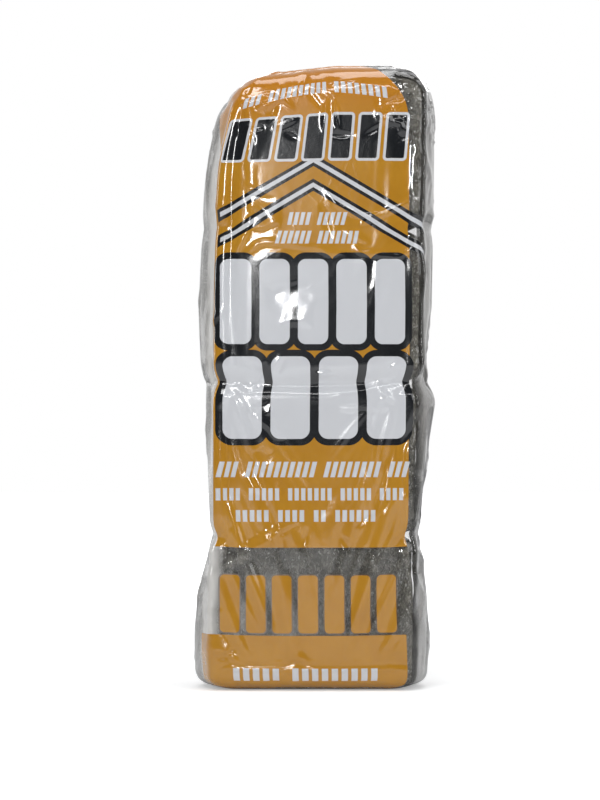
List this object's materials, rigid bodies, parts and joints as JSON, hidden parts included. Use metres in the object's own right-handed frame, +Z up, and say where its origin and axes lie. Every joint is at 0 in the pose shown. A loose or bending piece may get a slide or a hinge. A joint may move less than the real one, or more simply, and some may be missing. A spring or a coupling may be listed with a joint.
{
  "type": "steel wool pack",
  "caption": "Printed clear film sleeve, sealed at both ends, holding flat rolled pads of fine steel wool stacked in rows.",
  "frame": {"origin": "middle of the sleeve's flat base, on the surface that it stands on, under the middle of its overall width and depth", "axes": "+Z up along the sleeve's length; +X to the right as the printed front is seen; the printed front faces -Y and both sealed tails lie on the back, at +Y"},
  "size_m": [0.1246, 0.0692, 0.3237],
  "materials": {
    "film": "clear gloss film, printed ochre, black and white on its front",
    "wool": "fine matted steel fibres, dull grey with small bright points"
  },
  "bodies": {
    "root": {"film_sleeve": "film", "pad_row1_layer1": "wool", "pad_row1_layer2": "wool", "pad_row1_layer3": "wool", "pad_row1_layer4": "wool", "pad_row2_layer1": "wool", "pad_row2_layer2": "wool", "pad_row2_layer3": "wool", "pad_row2_layer4": "wool", "pad_row3_layer1": "wool", "pad_row3_layer2": "wool", "pad_row3_layer3": "wool", "pad_row3_layer4": "wool", "pad_row4_layer1": "wool", "pad_row4_layer2": "wool", "pad_row4_layer3": "wool", "pad_row4_layer4": "wool"}
  },
  "joints": []
}
